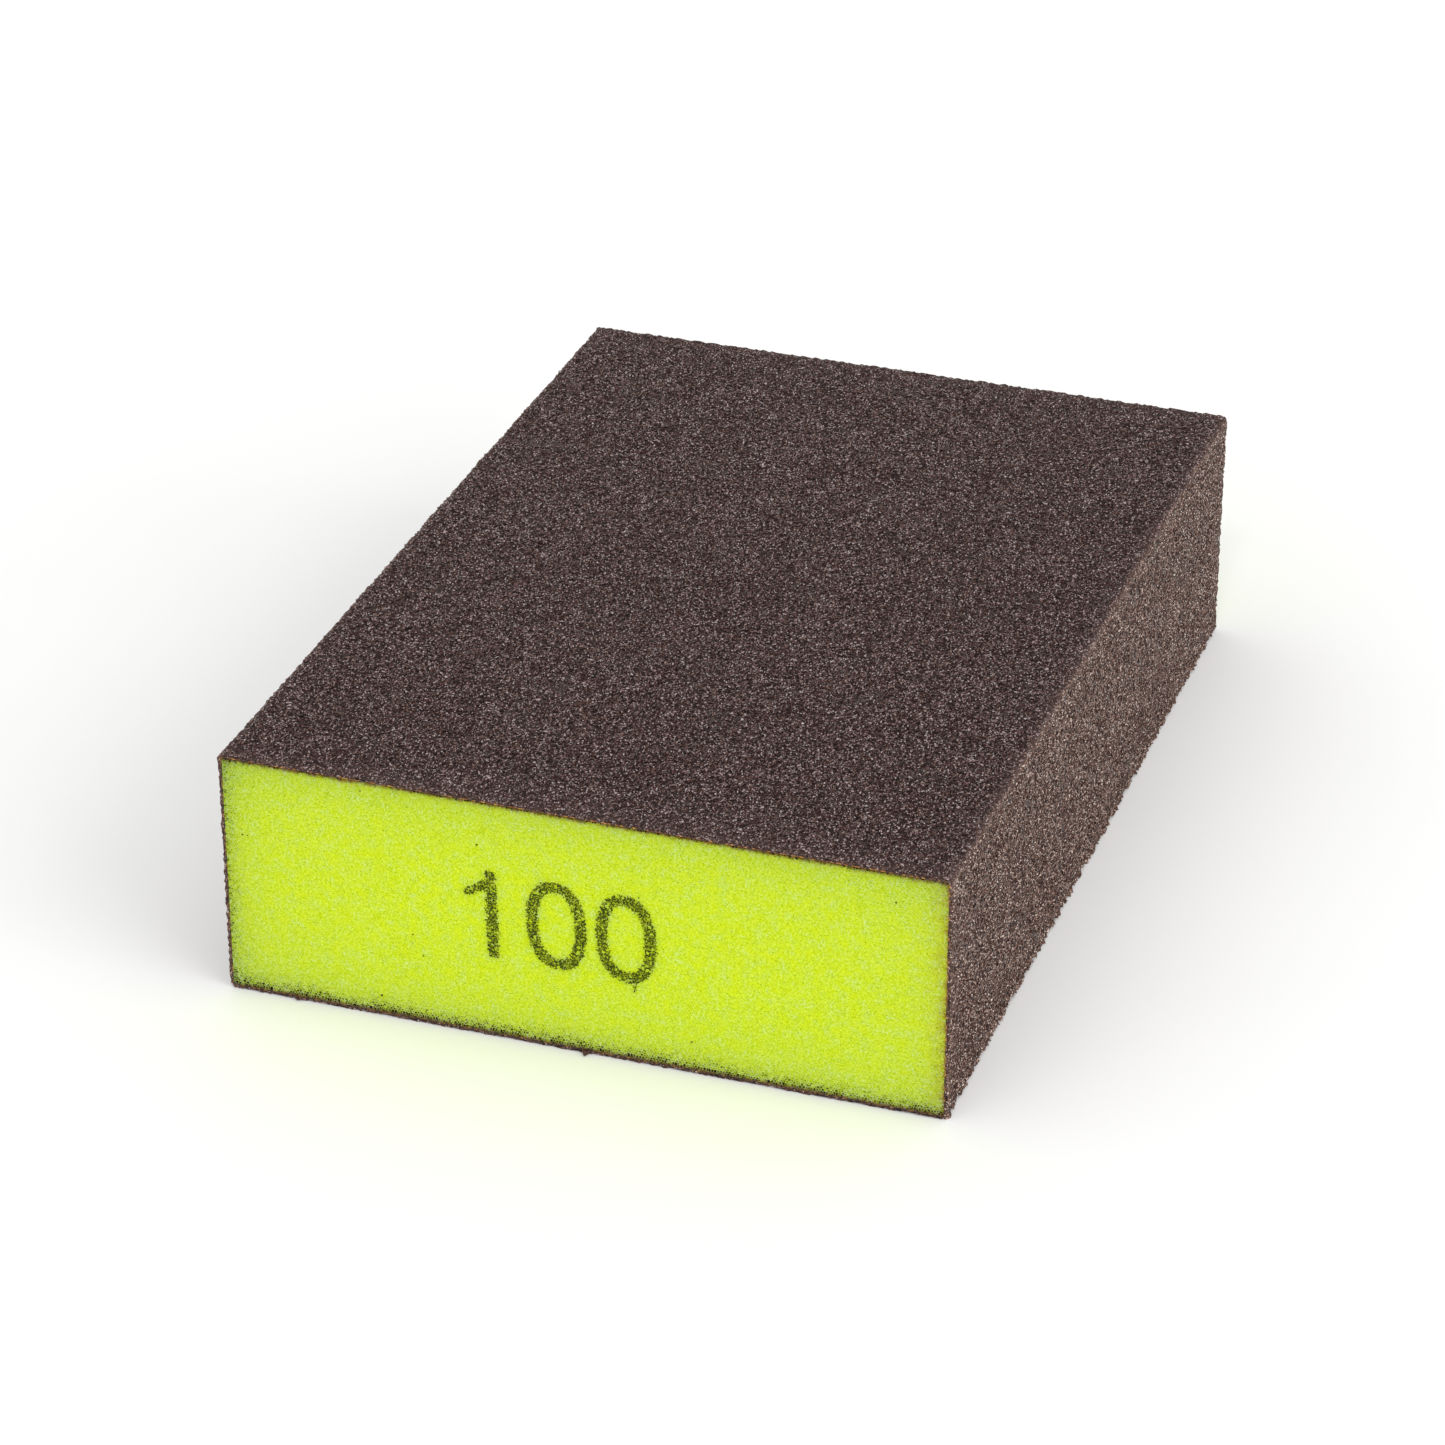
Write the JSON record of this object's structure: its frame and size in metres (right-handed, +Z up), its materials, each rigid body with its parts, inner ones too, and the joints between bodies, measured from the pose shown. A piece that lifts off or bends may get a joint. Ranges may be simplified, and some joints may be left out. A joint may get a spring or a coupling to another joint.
{
  "type": "sanding block",
  "caption": "Flat rectangular foam sanding block, coated with brown abrasive grain on its long faces and bare on its cut ends, with a grit number on the front end.",
  "frame": {"origin": "middle of the bottom coated face", "axes": "+Z up, through the top coated face; +Y from the numbered front end to the back end, along the length; +X to the right, seen from the front end"},
  "size_m": [0.07, 0.1, 0.025],
  "materials": {
    "foam": "matte, open-cell",
    "bond_resin": "cured resin",
    "grain": "rough mineral grain",
    "size_resin": "thin satin resin over grain",
    "ink": "matte, soaked into foam"
  },
  "bodies": {
    "root": {"foam_core": "foam", "bond_coat_top": "bond_resin", "bond_coat_bottom": "bond_resin", "bond_coat_left": "bond_resin", "bond_coat_right": "bond_resin", "grain_coat_top": "grain", "grain_coat_bottom": "grain", "grain_coat_left": "grain", "grain_coat_right": "grain", "size_coat_top": "size_resin", "size_coat_bottom": "size_resin", "size_coat_left": "size_resin", "size_coat_right": "size_resin", "grit_number": "ink"}
  },
  "joints": []
}
